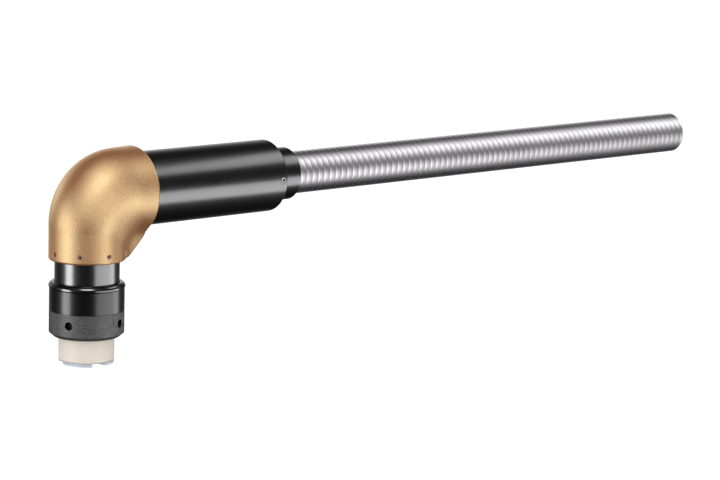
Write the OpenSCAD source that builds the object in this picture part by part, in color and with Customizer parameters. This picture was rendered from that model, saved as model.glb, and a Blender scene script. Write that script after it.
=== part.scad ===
// Right-angle machine TIG torch with a straight protective hose.
// +X runs along the barrel towards the hose, +Z is up and the nozzle points down.
// The origin is on the barrel's axis, in the middle of the length that a clamp may grip.

/* [Barrel] */
// Outside diameter of the barrel, the seat of the clamp that holds the torch
barrel_d = 50.8; // [49:0.1:54]
// Wall of the barrel
barrel_wall = 2.4; // [1.6:0.1:2.6]
// Length of the barrel between the elbow and its rear end
barrel_len = 116.1; // [90:0.1:160]
// Length of the barrel hidden in the elbow
barrel_socket = 16; // [12:0.5:17]
// Step in radius where the barrel enters the elbow
barrel_step = 0.4; // [0.2:0.1:0.8]
// Round on the barrel's rear outer edge
barrel_edge = 1.2; // [0.4:0.1:1.8]

/* [Elbow] */
// From the head's axis to the rim that takes the barrel
elbow_reach = 38.7; // [38:0.1:50]
// From the barrel's axis down to the rim that takes the neck
elbow_drop = 44.4; // [43:0.1:54]
// Radius of the elbow's centre line
bend_r = 22.8; // [22:0.1:27]
// Metal round the neck at the lower rim
front_wall = 4; // [3.6:0.1:5]
// Metal round the barrel at the rear rim
rear_wall = 5; // [4:0.1:5.8]
// How much slimmer the elbow is at the end of its bend than at the rear rim
elbow_flare = 0.55; // [0:0.05:1]
// Ledge inside the elbow that the neck seats on
neck_ledge = 1.5; // [1.2:0.1:2]
// Round on both rims
rim_edge = 1.6; // [0.6:0.1:2.4]
// Round in the inner corner between the two tubes
corner_r = 8; // [4:0.5:12]
// Width of the gusset web in the inner corner
web_w = 20; // [12:0.5:24]
// How far the web stands out past the tube at the lower rim
web_foot = 1.4; // [0.6:0.1:3]
// How far the web stands out past the tube at the rear rim
web_head = 0.7; // [0.4:0.1:2]
// Blend between the web and the tubes
web_blend = 3.2; // [1:0.1:5]

/* [Neck] */
// Outside diameter of the neck
neck_d = 44.1; // [43:0.1:45]
// Bore of the neck
neck_bore = 37.2; // [37:0.1:38.4]
// Length of the neck held in the elbow
neck_socket = 12; // [9:0.5:14]
// Length of the neck between the elbow and the cap
neck_show = 14.8; // [10.5:0.1:22]

/* [Retaining cap] */
// Diameter of the cap's body
cap_d = 51.1; // [49.6:0.1:54]
// Overall length of the cap
cap_len = 37.2; // [35.5:0.1:42]
// Radius of the round lip at the top
lip_round = 2.8; // [2.2:0.1:3.2]
// How far the lip stands proud of the body
lip_proud = 0.45; // [0.2:0.05:0.8]
// Length of the knurled band
knurl_len = 15; // [13.8:0.1:16]
// Width and depth of the fine groove above the knurled band
cap_groove = 0.5; // [0.3:0.05:0.8]
// Height of the bevel under the knurled band
bevel_h = 2.5; // [1:0.1:3.5]
// Width of the bevel under the knurled band
bevel_w = 3; // [1:0.1:4]
// Diameter of the spanner holes
spanner_d = 6; // [4:0.1:6.6]
// Depth of the spanner holes
spanner_depth = 3.5; // [2.4:0.1:3.6]
// Height of the spanner holes' centres above the cap's lower face
spanner_up = 10.2; // [8.5:0.1:11]
// Turn of the first spanner hole about the head's axis
spanner_turn = -65; // [-90:1:0]
// Length of thread between the neck and the cap
thread_len = 15; // [11:0.5:17]
// Depth of the pocket that holds the nozzle's flange
pocket_len = 11; // [10:0.1:12]
// Length of the inner lip that carries the nozzle's flange
cap_ledge = 4.2; // [3:0.1:5]

/* [Nozzle] */
// Outside diameter of the ceramic nozzle
nozzle_d = 37.9; // [36.6:0.1:38.6]
// Length of the nozzle below the cap
nozzle_out = 16.5; // [14:0.1:24]
// Bore of the nozzle
nozzle_bore = 28.4; // [27.4:0.1:29]
// How far the flange stands out from the nozzle
flange_w = 1.75; // [1.2:0.05:1.9]
// Height of the nozzle's flange
flange_h = 4.9; // [4:0.1:5.4]
// Chamfer on the nozzle's lower outer edge
nozzle_edge = 1; // [0.4:0.1:1.2]
// Outside diameter of the tip ring
tip_d = 32.8; // [31.4:0.1:33.4]
// Bore of the tip ring
tip_bore = 24; // [22:0.1:26]
// Depth of the tip ring inside the nozzle
tip_seat = 5; // [3:0.1:8]
// Length of the tall lips below the nozzle
lip_out = 2.9; // [2:0.1:5]
// Angle that each tall lip spans
lip_span = 105; // [60:1:110]
// Turn of the first tall lip about the head's axis
lip_turn = 143.5; // [90:0.5:180]
// Length of the low lugs below the nozzle
lug_out = 1.8; // [1:0.1:2]
// Angle of the open gap after each tall lip, before the low lug that fills the half turn
lug_gap = 27; // [15:1:30]

/* [Torch body] */
// Outside diameter of the torch body
body_d = 31; // [30.8:0.1:31.2]
// Length of the body's nose below the insulator
nose_len = 3.8; // [3.4:0.1:3.9]
// From the neck's upper end down to the top of the torch body
body_sink = 13.6; // [11:0.1:15]
// Wall of the cooling jacket
jacket_wall = 1.2; // [0.8:0.1:1.5]
// Depth of the coolant groove behind the jacket
water_gap = 2; // [1.2:0.1:2.2]
// Height of the ring nut that holds the torch body
lock_ring_h = 4; // [3:0.1:6]
// Diameter of the tungsten electrode
electrode_d = 4; // [3.2:0.1:4.2]
// Length of the electrode
electrode_len = 50; // [44:0.5:51]
// Length of the electrode's ground point
point_len = 8; // [3:0.5:12]
// How far the electrode's point stays behind the tall lips
point_back = 2.4; // [1:0.1:5]
// Wall of the collet
collet_wall = 1.2; // [1:0.05:1.4]
// Diameter of the collet body
collet_body_d = 12; // [11.4:0.1:12.4]
// Thickness of the gas diffuser
diffuser_h = 3.5; // [2.5:0.1:5]
// Number of gas holes in the diffuser
diffuser_holes = 12; // [8:1:16]

/* [Screws] */
// Diameter of the elbow's set screws
elbow_screw_d = 3; // [2.5:0.1:3.2]
// Height of the elbow's set screws above the lower rim
elbow_screw_up = 5.2; // [3.6:0.1:6]
// Turn of the row of elbow screws about the head's axis
elbow_screw_turn = -2; // [-6:0.5:6]
// Diameter of the barrel's set screws
barrel_screw_d = 4; // [3:0.1:4.6]
// From the barrel's rear end to its set screws
barrel_screw_in = 3.8; // [3.2:0.1:5]

/* [Hose] */
// Diameter of the hose over its ribs
hose_d = 30.5; // [30:0.1:31]
// Depth of the ribs
rib_h = 0.8; // [0.5:0.1:1]
// Distance from rib to rib
rib_pitch = 5.45; // [4.8:0.05:7]
// Bore of the hose
hose_bore = 24.4; // [24.2:0.1:24.6]
// Length of the hose outside the collar
hose_len = 403.2; // [200:0.1:500]
// Diameter of the collar's visible step
collar_d = 37.2; // [36:0.1:42]
// Length of the collar's visible step
collar_len = 18; // [14:0.1:30]
// Length of the collar's plug inside the barrel
plug_len = 18; // [14:0.1:30]
// Depth of the hose inside the collar's plug
hose_seat = 4; // [3:0.1:8]
// Edge break on the collar
collar_edge = 0.6; // [0.3:0.1:1.2]

/* [Leads] */
// Bend radius on the centre of the bundle of leads
lead_bend = 30; // [28:0.5:33]
// Diameter of the power cable's hose
power_d = 9.2; // [8.8:0.1:9.6]
// Diameter of the copper rope in the power cable
rope_d = 5; // [4:0.1:5.2]
// Diameter of the coolant hose
coolant_d = 6.4; // [6:0.1:6.6]
// Diameter of the gas hose
gas_d = 6; // [5.8:0.1:6.4]
// Diameter of the sensing lead
sense_d = 2.6; // [2:0.1:3]
// How far the leads end inside the hose's open end
lead_short = 4; // [2:0.5:10]
// Thickness of the rubber grommet in the barrel
grommet_len = 14; // [8:0.5:24]
// Thickness of each clamp plate
plate_t = 3; // [2:0.1:5]
// From the elbow's rear rim to the middle of the grommet
grommet_from = 64; // [40:1:80]

/* [Fits] */
// Clearance between pieces that are fixed together
fit_gap = 0.1; // [0.05:0.01:0.15]
// Radial clearance of a running fit
run_gap = 0.08; // [0.03:0.01:0.1]
// Clearance between pieces that move past each other
move_gap = 0.3; // [0.25:0.05:0.35]

/* [Hidden] */
$fn = 72;
over = 1;            // how far a cut runs past a face

// places along the barrel, measured from the head's axis
barrel_r = barrel_d / 2;
barrel_bore_r = barrel_r - barrel_wall;
spigot_r = barrel_r - barrel_step;
barrel_front = elbow_reach - barrel_socket;
barrel_rear = elbow_reach + barrel_len;
collar_rear = barrel_rear + collar_len;
hose_rear = collar_rear + hose_len;
head_x = -(elbow_reach + barrel_len / 2);

// places down the head, measured from the barrel's axis
neck_r = neck_d / 2;
neck_bore_r = neck_bore / 2;
neck_top = -elbow_drop + neck_socket;
cap_top = -elbow_drop - neck_show;
cap_low = cap_top - cap_len;
ledge_top = cap_low + cap_ledge;
flange_low = ledge_top + move_gap;
nozzle_top = flange_low + flange_h;
nozzle_low = cap_low - nozzle_out;
insulator_low = nozzle_top + move_gap;
cap_shoulder = ledge_top + pocket_len;
neck_low = cap_shoulder + move_gap;
body_top = neck_top - body_sink;
body_low = insulator_low - nose_len;

// radii of the head's nested pieces
nozzle_r = nozzle_d / 2;
flange_r = nozzle_r + flange_w;
pocket_r = flange_r + move_gap;
body_r = body_d / 2;
insulator_bore_r = body_r + fit_gap;
insulator_r = neck_bore_r - fit_gap;
jacket_bore_r = body_r - jacket_wall;
water_r = jacket_bore_r - water_gap;
collar_plug_r = barrel_bore_r - fit_gap / 2;

// ---------------------------------------------------------------- elbow

front_r = neck_r + fit_gap + front_wall;
rear_r = spigot_r + fit_gap + rear_wall;
bend_end_r = rear_r - elbow_flare;
hollow_r = neck_r + fit_gap - neck_ledge;
elbow_rings = 26;
elbow_sides = 64;
side_crowding = 0.4; // draws the facets together towards the web

// Every ring lies in a plane through the line where both rim planes meet.
pivot = [elbow_reach, -elbow_drop];

// point of the centre line in the plane at angle a above the lower rim
function bend_dot(a) = -(elbow_reach - bend_r) * cos(a) - (elbow_drop - bend_r) * sin(a);
function pivot_gap() = norm([elbow_reach - bend_r, elbow_drop - bend_r]);
function centre_dist(a) =
    elbow_reach * sin(a) <= (elbow_drop - bend_r) * cos(a) ? elbow_reach / cos(a)
    : elbow_drop * cos(a) <= (elbow_reach - bend_r) * sin(a) ? elbow_drop / sin(a)
    : -bend_dot(a) + sqrt(pow(bend_dot(a), 2) - pow(pivot_gap(), 2) + pow(bend_r, 2));
function away(a) = [-cos(a), sin(a)];
function centre(a) = pivot + centre_dist(a) * away(a);

// outer radius of the tube where the bend has turned by t of its quarter, then along the rear stub
function bend_outer(t) = front_r + (bend_end_r - front_r) * t;
function stub_outer(x) = bend_end_r + elbow_flare * (x - bend_r) / (elbow_reach - bend_r);

// distance of a point from the plain bent tube
function tube_gap(p) =
    p.z < -bend_r ? norm([p.x, p.y]) - front_r
    : p.x > bend_r ? norm([p.y, p.z]) - stub_outer(p.x)
    : norm([norm([bend_r - p.x, p.z + bend_r]) - bend_r, p.y])
        - bend_outer(atan2(p.z + bend_r, bend_r - p.x) / 90);

// distance in the middle plane from the filleted inner corner of the two tubes
function round_union(a, b, r) = max(r, min(a, b)) - norm([max(r - a, 0), max(r - b, 0)]);
function corner_gap(p) = round_union(p[0] - front_r, -rear_r - p[1], corner_r);

// first crossing of a surface along a ray, by halving
function halve(lo, hi, steps, hit) =
    steps == 0 ? (lo + hi) / 2
    : hit((lo + hi) / 2) ? halve(lo, (lo + hi) / 2, steps - 1, hit)
    : halve((lo + hi) / 2, hi, steps - 1, hit);
ray_near = 15;
ray_far = 70;
halvings = 16;
function to_tube(a, f) =
    halve(ray_near, ray_far, halvings, function (t)
        tube_gap([centre(a)[0] + t * cos(f) * away(a)[0], t * sin(f),
            centre(a)[1] + t * cos(f) * away(a)[1]]) > 0);
function to_corner(a) =
    halve(ray_near, ray_far, halvings, function (t) corner_gap(centre(a) - t * away(a)) > 0);

// distance to the web's sloping face in the middle plane
web_low = [front_r + web_foot, -elbow_drop];
web_high = [elbow_reach, -(rear_r + web_head)];
function cross2(u, v) = u[0] * v[1] - u[1] * v[0];
function to_web(a) = cross2(web_low - centre(a), web_high - web_low) / cross2(-away(a), web_high - web_low);

function smooth_max(a, b, k) = max(a, b) + pow(max(k - abs(a - b), 0), 2) / (4 * k);
function web_side(f) = abs(sin(f)) < 0.001 ? ray_far : web_w / 2 / abs(sin(f));
web_corner = 1.2;    // softening of the web's long edges
function web_reach(a, f) = -smooth_max(-web_side(f), to_web(a) / cos(f), web_corner);
function oval(a, f, inner, side) = 1 / norm([cos(f) / inner, sin(f) / side]);
function reach(a, f) =
    cos(f) >= 0 ? to_tube(a, f)
    : smooth_max(oval(a, f, to_corner(a), to_tube(a, 90)), web_reach(a, f), web_blend);

// how far the round of a rim draws in a point that lies d from the rim's plane
function rim_inset(d) = d >= rim_edge ? 0 : rim_edge - sqrt(pow(rim_edge, 2) - pow(rim_edge - d, 2));
function elbow_point(a, f, t) =
    let (c = centre(a), w = away(a)) [c[0] + t * cos(f) * w[0], t * sin(f), c[1] + t * cos(f) * w[1]];
function rounded_point(a, f, t) =
    let (p = elbow_point(a, f, t))
    elbow_point(a, f, t - rim_inset(max(p.z + elbow_drop, 0)) - rim_inset(max(elbow_reach - p.x, 0)));

function ring_angle(i) = 45 * (1 - cos(180 * i / elbow_rings));
function side_angle(j) = let (f = 360 * j / elbow_sides) f + side_crowding * sin(f) * 180 / PI;
elbow_points = [for (i = [0:elbow_rings], j = [0:elbow_sides - 1])
    rounded_point(ring_angle(i), side_angle(j), reach(ring_angle(i), side_angle(j)))];

// side faces of a tube of rings, as triangles, with both ends closed
function ring_faces(rings, sides) = concat(
    [for (i = [0:rings - 1], j = [0:sides - 1]) let (k = (j + 1) % sides)
        [i * sides + j, i * sides + k, (i + 1) * sides + k]],
    [for (i = [0:rings - 1], j = [0:sides - 1]) let (k = (j + 1) % sides)
        [i * sides + j, (i + 1) * sides + k, (i + 1) * sides + j]],
    [[for (j = [0:sides - 1]) sides - 1 - j]],
    [[for (j = [0:sides - 1]) rings * sides + j]]);

module elbow_shape()
    polyhedron(points = elbow_points, faces = ring_faces(elbow_rings, elbow_sides), convexity = 4);

module at_head() translate([head_x, 0, 0]) children();
// a cylinder of radius r from x = a to x = b
module along_x(a, b, r) translate([a, 0, 0]) rotate([0, 90, 0]) cylinder(h = b - a, r = r);
// a cylinder of radius r from z = a up to z = b
module along_z(a, b, r) translate([0, 0, a]) cylinder(h = b - a, r = r);

// rings of rubber in grooves round the neck and the barrel
seal_r = 0.5;
groove_half = seal_r + fit_gap;
neck_seal_z = neck_top - 2.6;
neck_seal_r = neck_r + fit_gap + seal_r;
barrel_seal_x = barrel_front + 7;
barrel_seal_r = spigot_r + fit_gap + seal_r;

elbow_screw_z = -elbow_drop + elbow_screw_up;
elbow_screw_count = 8;
// the screw that would come out through the web is left out
module elbow_screw_places() for (i = [1:elbow_screw_count - 1])
    rotate([0, 0, elbow_screw_turn + 360 * i / elbow_screw_count])
        translate([0, 0, elbow_screw_z]) children();

module elbow_housing() color([0.80, 0.62, 0.36]) at_head() difference() {
    elbow_shape();
    along_z(-elbow_drop - over, neck_top, neck_r + fit_gap);
    along_z(-elbow_drop - over, -bend_r, hollow_r);
    translate([bend_r, 0, -bend_r]) rotate([90, 0, 0]) rotate([0, 0, 90])
        rotate_extrude(angle = 90) translate([bend_r, 0]) circle(r = hollow_r);
    along_x(bend_r, elbow_reach + over, hollow_r);
    along_x(barrel_front, elbow_reach + over, spigot_r + fit_gap);
    along_z(neck_seal_z - groove_half, neck_seal_z + groove_half, neck_seal_r + groove_half);
    along_x(barrel_seal_x - groove_half, barrel_seal_x + groove_half, barrel_seal_r + groove_half);
    elbow_screw_places() along_x(neck_r - over, front_r + over, elbow_screw_d / 2 + fit_gap / 2);
}

module seal_ring(r) rotate_extrude() translate([r, 0]) circle(r = seal_r);
module neck_o_ring() color([0.1, 0.1, 0.1]) at_head()
    translate([0, 0, neck_seal_z]) seal_ring(neck_seal_r);
module barrel_o_ring() color([0.1, 0.1, 0.1]) at_head()
    translate([barrel_seal_x, 0, 0]) rotate([0, 90, 0]) seal_ring(barrel_seal_r);

// a set screw with a hex socket, its axis along +X and its outer end at x = 0
module set_screw(d, len, socket, socket_depth) difference() {
    along_x(-len, 0, d / 2);
    translate([-socket_depth, 0, 0]) rotate([0, 90, 0])
        cylinder(h = socket_depth + over, r = socket / sqrt(3), $fn = 6);
}
screw_sink = 0.4;    // how far a set screw lies below the surface
elbow_screw_end = front_r - screw_sink;
elbow_screw_len = elbow_screw_end - neck_r - fit_gap / 2;
module elbow_set_screws() color([0.7, 0.71, 0.74]) at_head() elbow_screw_places()
    translate([elbow_screw_end, 0, 0])
    set_screw(elbow_screw_d, elbow_screw_len, elbow_screw_d / 2, elbow_screw_d / 2);

// ---------------------------------------------------------------- barrel and collar

barrel_screw_x = barrel_rear - barrel_screw_in;
barrel_screw_tip = hose_d / 2 + 3;
barrel_screw_end = barrel_r - screw_sink;
barrel_hole_r = barrel_screw_d / 2 + fit_gap / 2;
barrel_screw_count = 3;
module barrel_screw_places() for (i = [0:barrel_screw_count - 1])
    translate([barrel_screw_x, 0, 0]) rotate([360 * i / barrel_screw_count, 0, 0]) children();

arc_steps = 8;
// points of an arc about c, from angle a to angle b
function arc(c, r, a, b) =
    [for (i = [0:arc_steps]) let (f = a + (b - a) * i / arc_steps) c + r * [cos(f), sin(f)]];

// a profile of [radius, place] points turned about the X axis
module turned_x(profile) rotate([0, 90, 0]) rotate_extrude() polygon(profile);

module barrel_tube() color([0.06, 0.06, 0.065]) at_head() difference() {
    turned_x(concat([[barrel_bore_r, barrel_front], [spigot_r, barrel_front],
        [spigot_r, elbow_reach], [barrel_r, elbow_reach]],
        arc([barrel_r - barrel_edge, barrel_rear - barrel_edge], barrel_edge, 0, 90),
        [[barrel_bore_r, barrel_rear]]));
    barrel_screw_places() rotate([90, 0, 0]) cylinder(h = barrel_r + over, r = barrel_hole_r);
}

hose_front = barrel_rear - hose_seat;
ferrule_flange = 1;
ferrule_flange_r = hose_bore / 2 + 2;
ferrule_wall = 0.7;
ferrule_r = hose_bore / 2 - fit_gap;
ferrule_front = hose_front - ferrule_flange;
ferrule_rear = collar_rear - 1;
collar_bore_r = hose_bore / 2 + fit_gap;
collar_socket_r = hose_d / 2 + fit_gap;
collar_step = ferrule_front - fit_gap;

module hose_collar() color([0.07, 0.07, 0.075]) at_head() difference() {
    turned_x([[collar_bore_r, barrel_rear - plug_len], [collar_plug_r, barrel_rear - plug_len],
        [collar_plug_r, barrel_rear], [collar_d / 2, barrel_rear],
        [collar_d / 2, collar_rear - collar_edge], [collar_d / 2 - collar_edge, collar_rear],
        [collar_socket_r, collar_rear], [collar_socket_r, collar_step], [collar_bore_r, collar_step]]);
    barrel_screw_places() rotate([90, 0, 0]) translate([0, 0, barrel_screw_tip - fit_gap])
        cylinder(h = barrel_r, r = barrel_hole_r);
}

module barrel_set_screws() color([0.78, 0.79, 0.8]) at_head() barrel_screw_places() rotate([0, 0, -90])
    translate([barrel_screw_end, 0, 0])
    set_screw(barrel_screw_d, barrel_screw_end - barrel_screw_tip, barrel_screw_d / 2, barrel_screw_d / 2);

module hose_ferrule() color([0.82, 0.68, 0.38]) at_head() turned_x([
    [ferrule_r - ferrule_wall, ferrule_front], [ferrule_flange_r, ferrule_front],
    [ferrule_flange_r, hose_front], [ferrule_r, hose_front],
    [ferrule_r, ferrule_rear], [ferrule_r - ferrule_wall, ferrule_rear]]);

// the hose: one ring at the root and one at the crest of every rib
hose_sides = 8;
hose_inner_front = hose_front + fit_gap;
rib_count = floor((hose_rear - hose_inner_front) / rib_pitch);
rib_step = (hose_rear - hose_inner_front) / rib_count / 2;
hose_points = [for (i = [0:2 * rib_count], j = [0:hose_sides - 1])
    let (r = hose_d / 2 - (i % 2 == 0 ? rib_h : 0), f = 360 * j / hose_sides)
    [hose_inner_front + i * rib_step, r * cos(f), r * sin(f)]];
module protective_hose() color([0.72, 0.72, 0.74]) at_head() difference() {
    polyhedron(points = hose_points, faces = ring_faces(2 * rib_count, hose_sides), convexity = 4);
    along_x(hose_inner_front - over, hose_rear + over, hose_bore / 2);
}

// ---------------------------------------------------------------- neck and cap

module tube_z(a, b, outer, inner) difference() {
    along_z(a, b, outer);
    along_z(a - over, b + over, inner);
}

module neck_tube() color([0.03, 0.03, 0.035]) at_head() tube_z(neck_low, neck_top, neck_r, neck_bore_r);

cap_r = cap_d / 2;
lip_centre = [cap_r + lip_proud - lip_round, cap_top - lip_round];
lip_last = -40;      // where the lip's round ends, below the horizontal
lip_end = lip_centre + lip_round * [cos(lip_last), sin(lip_last)];
knurl_top = cap_low + bevel_h + knurl_len;
skirt_r = neck_r + move_gap;
thread_r = neck_r + run_gap;
cap_mouth_r = nozzle_r + move_gap;
spanner_count = 4;
spanner_z = cap_low + spanner_up;

module retaining_cap() color([0.08, 0.08, 0.085]) at_head() difference() {
    rotate_extrude() polygon(concat(
        [[skirt_r, cap_top]], arc(lip_centre, lip_round, 90, lip_last),
        [[cap_r, lip_end[1] - (cap_r - lip_end[0])],
        [cap_r, knurl_top + cap_groove], [cap_r - cap_groove / 2, knurl_top + cap_groove / 2],
        [cap_r, knurl_top], [cap_r, cap_low + bevel_h], [cap_r - bevel_w, cap_low],
        [cap_mouth_r, cap_low], [cap_mouth_r, ledge_top],
        [pocket_r, ledge_top], [pocket_r, cap_shoulder],
        [thread_r, cap_shoulder], [thread_r, neck_low + thread_len], [skirt_r, neck_low + thread_len]]));
    for (i = [0:spanner_count - 1]) rotate([0, 0, spanner_turn + 360 * i / spanner_count])
        translate([0, 0, spanner_z]) along_x(cap_r - spanner_depth, cap_r + over, spanner_d / 2);
}

// ---------------------------------------------------------------- nozzle and tip ring

nose_bore_r = body_r + move_gap;
nozzle_bore_r = nozzle_bore / 2;
nose_bore_low = body_low - 2 * move_gap;
tip_r = tip_d / 2;
tip_bore_r = tip_bore / 2;
tip_seat_r = tip_r + fit_gap;
tip_seat_top = nozzle_low + tip_seat + fit_gap;

module gas_nozzle() color([0.88, 0.85, 0.79]) at_head() rotate_extrude() polygon([
    [nose_bore_r, nozzle_top], [flange_r, nozzle_top], [flange_r, flange_low], [nozzle_r, flange_low],
    [nozzle_r, nozzle_low + nozzle_edge], [nozzle_r - nozzle_edge, nozzle_low],
    [tip_seat_r, nozzle_low], [tip_seat_r, tip_seat_top], [nozzle_bore_r, tip_seat_top],
    [nozzle_bore_r, nose_bore_low], [nose_bore_r, nose_bore_low]]);

lug_r = nozzle_r - nozzle_edge / 4;
lip_count = 2;
lip_r = tip_r - 0.2;      // the lips are set in a little from the seat
lug_start = lip_span + lug_gap;
lug_end = 360 / lip_count;
relief = 1;               // angle by which a lug's flange stops short of the next lip
// cuts away what lies outside a radius and under a height, over part of the turn
module tip_cut(from, to, inner, top) rotate([0, 0, from]) rotate_extrude(angle = to - from)
    translate([inner, nozzle_low - lip_out - over])
        square([lug_r + over - inner, top - nozzle_low + lip_out + over]);

module nozzle_tip() color([0.78, 0.80, 0.84]) at_head() difference() {
    rotate_extrude() polygon([[tip_bore_r, nozzle_low - lip_out], [lug_r, nozzle_low - lip_out],
        [lug_r, nozzle_low], [tip_r, nozzle_low], [tip_r, nozzle_low + tip_seat],
        [tip_bore_r, nozzle_low + tip_seat]]);
    for (i = [0:lip_count - 1]) rotate([0, 0, lip_turn + 360 * i / lip_count]) {
        tip_cut(-relief, lug_start - relief, lip_r, nozzle_low);
        tip_cut(lip_span, lug_start, tip_bore_r - over, nozzle_low);
        tip_cut(lug_start - relief, lug_end, tip_bore_r - over, nozzle_low - lug_out);
    }
}

// ---------------------------------------------------------------- leads

// places of the leads across the bundle: [sideways, above the barrel's axis]
power_at = [0, 6.6];
coolant_at = [-5, -3.6];
gas_at = [5, -3.6];
sense_at = [0, -9];

power_bore = rope_d + 1.8;
hose_barb = 6.5;      // length of a hose tail inside its hose
fitting_h = 8;        // height of a fitting's body on the torch body
lead_foot = body_top + fitting_h;
lead_rear = hose_rear - lead_short;

// a round lead that rises from z = foot, turns a quarter and runs back to the hose's end
module lead(at, d, foot, grow = 0) {
    translate([-at[1], at[0], 0]) along_z(foot - grow, -lead_bend, d / 2);
    translate([lead_bend, at[0], -lead_bend]) rotate([90, 0, 0]) rotate([0, 0, 90])
        rotate_extrude(angle = 90) translate([lead_bend + at[1], 0]) circle(d = d);
    translate([0, at[0], at[1]]) along_x(lead_bend, lead_rear + grow, d / 2);
}

module hollow_lead(at, d, bore) at_head() difference() {
    lead(at, d, lead_foot);
    lead(at, bore, lead_foot, over);
}

coolant_bore = coolant_d - 2.4;
gas_bore = gas_d - 2.4;
module power_hose() color([0.12, 0.12, 0.13]) hollow_lead(power_at, power_d, power_bore);
module copper_rope() color([0.80, 0.48, 0.32]) at_head()
    lead(power_at, rope_d, lead_foot + hose_barb + fit_gap);
module coolant_hose() color([0.15, 0.3, 0.62]) hollow_lead(coolant_at, coolant_d, coolant_bore);
module gas_hose() color([0.1, 0.1, 0.1]) hollow_lead(gas_at, gas_d, gas_bore);
sense_sink = 3;
module sense_lead() color([0.75, 0.1, 0.1]) at_head() lead(sense_at, sense_d, body_top - sense_sink);

// a fitting on top of the torch body: a plug in its port, a body and a hose tail
port_depth = 8;
plug_depth = 6;
power_port_r = 3;
small_port_r = 2;
module fitting(at, port_r, flange, tail_r) color([0.80, 0.66, 0.36]) at_head() translate([-at[1], at[0], 0]) {
    along_z(body_top - plug_depth, body_top, port_r - fit_gap);
    along_z(body_top, lead_foot, flange);
    along_z(lead_foot, lead_foot + hose_barb, tail_r);
}
module power_fitting() fitting(power_at, power_port_r, power_d / 2 + 0.4, power_bore / 2 - fit_gap);
module coolant_fitting() fitting(coolant_at, small_port_r, coolant_d / 2 + 0.6, coolant_bore / 2 - fit_gap);
module gas_fitting() fitting(gas_at, small_port_r, gas_d / 2 + 0.8, gas_bore / 2 - fit_gap);

ferrule_t = 0.8;
module crimp(at, d) translate([-at[1], at[0], 0])
    tube_z(lead_foot + 2 * fit_gap, lead_foot + hose_barb, d / 2 + fit_gap + ferrule_t, d / 2 + fit_gap);
module crimp_ferrules() color([0.7, 0.71, 0.73]) at_head() {
    crimp(power_at, power_d);
    crimp(coolant_at, coolant_d);
    crimp(gas_at, gas_d);
}

// ---------------------------------------------------------------- torch body

jacket_shoulder = 2;      // rim above and below the jacket
water_rim = 2;            // rim above and below the coolant groove
jacket_top = body_top - jacket_shoulder;
jacket_low = insulator_low + jacket_shoulder + 2;
nose_seal_z = body_low + nose_len / 2;
nose_seal_r = 0.72;
collet_chamber_top = body_top - 11;
collet_body_r = collet_body_d / 2;
rope_clear = 0.6;
electrode_r = electrode_d / 2;
electrode_bore_r = electrode_r + rope_clear;
body_bore_top = body_top - 6;
cross_port_z = body_top - port_depth + 1;
cross_port_r = 0.9;

module port(at, r) translate([-at[1], at[0], 0]) along_z(body_top - port_depth, body_top + over, r);

nose_groove_low = nose_seal_z - nose_seal_r - fit_gap;
nose_groove_top = nose_seal_z + nose_seal_r + fit_gap;
nose_groove_r = body_r - 2 * nose_seal_r + fit_gap;
land_r = jacket_bore_r - fit_gap;

module torch_body() color([0.80, 0.64, 0.33]) at_head() difference() {
    rotate_extrude() polygon([[0, body_low], [body_r, body_low],
        [body_r, nose_groove_low], [nose_groove_r, nose_groove_low],
        [nose_groove_r, nose_groove_top], [body_r, nose_groove_top],
        [body_r, jacket_low], [land_r, jacket_low],
        [land_r, jacket_low + water_rim], [water_r, jacket_low + water_rim],
        [water_r, jacket_top - water_rim], [land_r, jacket_top - water_rim],
        [land_r, jacket_top], [body_r, jacket_top], [body_r, body_top], [0, body_top]]);
    along_z(body_low - over, collet_chamber_top, collet_body_r + fit_gap / 2);
    along_z(collet_chamber_top - over, body_bore_top, electrode_bore_r);
    port(power_at, power_port_r);
    port(coolant_at, small_port_r);
    translate([-gas_at[1], gas_at[0], 0]) along_z(collet_chamber_top - over, body_top + over, small_port_r);
    translate([-sense_at[1], sense_at[0], 0])
        along_z(body_top - sense_sink - fit_gap, body_top + over, sense_d / 2 + fit_gap);
    translate([-power_at[1], 0, cross_port_z]) rotate([0, -90, 0]) cylinder(h = body_r, r = cross_port_r);
    translate([-coolant_at[1], coolant_at[0], cross_port_z]) rotate([90, 0, 0])
        cylinder(h = body_r, r = cross_port_r);
}

module cooling_jacket() color([0.78, 0.60, 0.30]) at_head()
    tube_z(jacket_low + fit_gap, jacket_top - fit_gap, body_r, jacket_bore_r);

module insulator_sleeve() color([0.86, 0.84, 0.78]) at_head() {
    tube_z(insulator_low, body_top, insulator_r, insulator_bore_r);
    tube_z(insulator_low, neck_low, flange_r - fit_gap, insulator_bore_r);
}

lock_ring_bore_r = body_r - 3;
module body_lock_ring() color([0.2, 0.2, 0.21]) at_head()
    tube_z(body_top, body_top + lock_ring_h, insulator_r, lock_ring_bore_r);

module nozzle_o_ring() color([0.1, 0.1, 0.1]) at_head() translate([0, 0, nose_seal_z]) rotate_extrude()
    translate([body_r + move_gap - run_gap - nose_seal_r, 0]) circle(r = nose_seal_r);

// ---------------------------------------------------------------- collet, electrode and diffuser

collet_bore_r = electrode_r + run_gap / 2;
collet_r = collet_bore_r + collet_wall;
collet_flange_h = 3;
collet_flange_r = collet_body_r + 2.5;
collet_nose = 6;
collet_flange_low = body_low - collet_flange_h;
collet_nose_low = collet_flange_low - collet_nose;
collet_seat = collet_nose_low + 1;
collet_body_top = collet_chamber_top - 1.5;
gas_hole_r = 0.9;
gas_hole_count = 4;

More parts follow.
